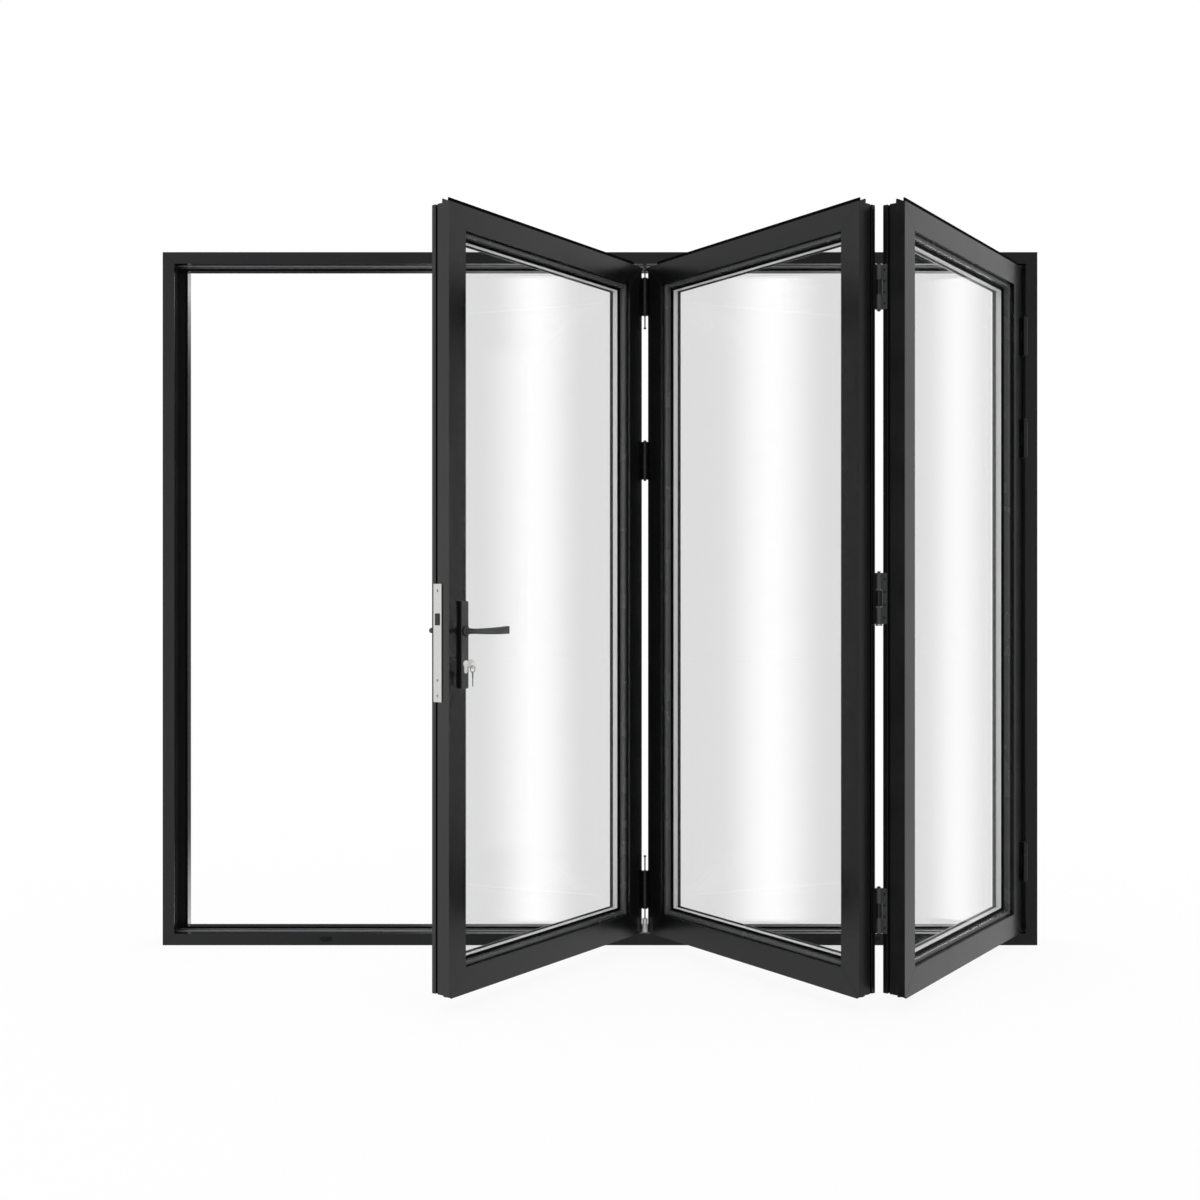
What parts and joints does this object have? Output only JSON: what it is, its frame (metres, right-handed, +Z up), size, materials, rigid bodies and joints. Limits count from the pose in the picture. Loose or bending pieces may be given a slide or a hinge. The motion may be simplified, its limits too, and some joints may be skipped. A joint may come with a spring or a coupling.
{
  "type": "aluminium folding door with a hinged access leaf",
  "caption": "Dark aluminium glazed folding door in its frame, part folded, with an access leaf that swings on its hinges and a pair of spring-returned lever handles.",
  "frame": {"origin": "middle of the sill's underside, half way through the frame's depth", "axes": "+X along the frame to the hinge jamb, -Y to the outside of the building, +Z up"},
  "size_m": [2.65, 0.7885, 2.1],
  "materials": {
    "frame_paint": "anthracite powder coating, semi-matt",
    "seal_rubber": "black moulded seal",
    "track_aluminium": "satin anodised extrusion",
    "cover_plastic": "black moulded nylon",
    "glazing": "clear sealed glass unit",
    "hinge_paint": "black powder coating",
    "steel": "satin stainless steel"
  },
  "bodies": {
    "frame": {"frame_head": "frame_paint", "frame_sill": "frame_paint", "frame_lock_jamb": "frame_paint", "frame_hinge_jamb": "frame_paint", "frame_stop_seals": "seal_rubber", "head_track_rail": "track_aluminium", "sill_track_rail": "track_aluminium", "drain_covers": "cover_plastic", "middle_leaf_hinge_stile": "frame_paint", "middle_leaf_free_stile": "frame_paint", "middle_leaf_top_rail": "frame_paint", "middle_leaf_bottom_rail": "frame_paint", "end_leaf_hinge_stile": "frame_paint", "end_leaf_free_stile": "frame_paint", "end_leaf_top_rail": "frame_paint", "end_leaf_bottom_rail": "frame_paint", "fold_pair_glass": "glazing", "fold_pair_beads": "frame_paint", "fold_pair_glazing_seals": "seal_rubber", "fold_pair_top_seal": "seal_rubber", "jamb_hinge_frame_wings": "hinge_paint", "jamb_hinge_leaf_wings": "hinge_paint", "apex_hinge_end_wings": "hinge_paint", "apex_hinge_middle_wings": "hinge_paint", "track_hinge_middle_wings": "hinge_paint", "hinge_pins": "hinge_paint", "head_carriage": "steel", "carriage_wheels": "cover_plastic", "sill_guide": "steel", "sill_guide_roller": "cover_plastic"},
    "access_leaf": {"access_leaf_hinge_stile": "frame_paint", "access_leaf_free_stile": "frame_paint", "access_leaf_top_rail": "frame_paint", "access_leaf_bottom_rail": "frame_paint", "access_leaf_glass": "glazing", "access_leaf_beads": "frame_paint", "access_leaf_glazing_seals": "seal_rubber", "access_leaf_top_seal": "seal_rubber", "track_hinge_access_wings": "hinge_paint", "lock_backplates": "hinge_paint", "lock_cylinder": "steel", "key": "steel", "lock_faceplate": "steel", "latch_bolt": "steel"},
    "levers": {"outer_lever": "hinge_paint", "inner_lever": "hinge_paint", "lever_spindle": "steel"}
  },
  "joints": [
    {"name": "access_leaf_hinge", "type": "hinge", "parent": "frame", "child": "access_leaf", "pos_m": [0.13587, -0.059, 1.05], "axis": [0, 0, 1], "range_deg": [-53.4, 60]},
    {"name": "lever_turn", "type": "hinge", "parent": "access_leaf", "child": "levers", "pos_m": [-0.3502, -0.6984, 0.967], "axis": [-0.8028, 0.5962, 0], "range_deg": [0, 40], "stiffness_Nm_per_rad": 2, "springref_deg": -20.05}
  ]
}
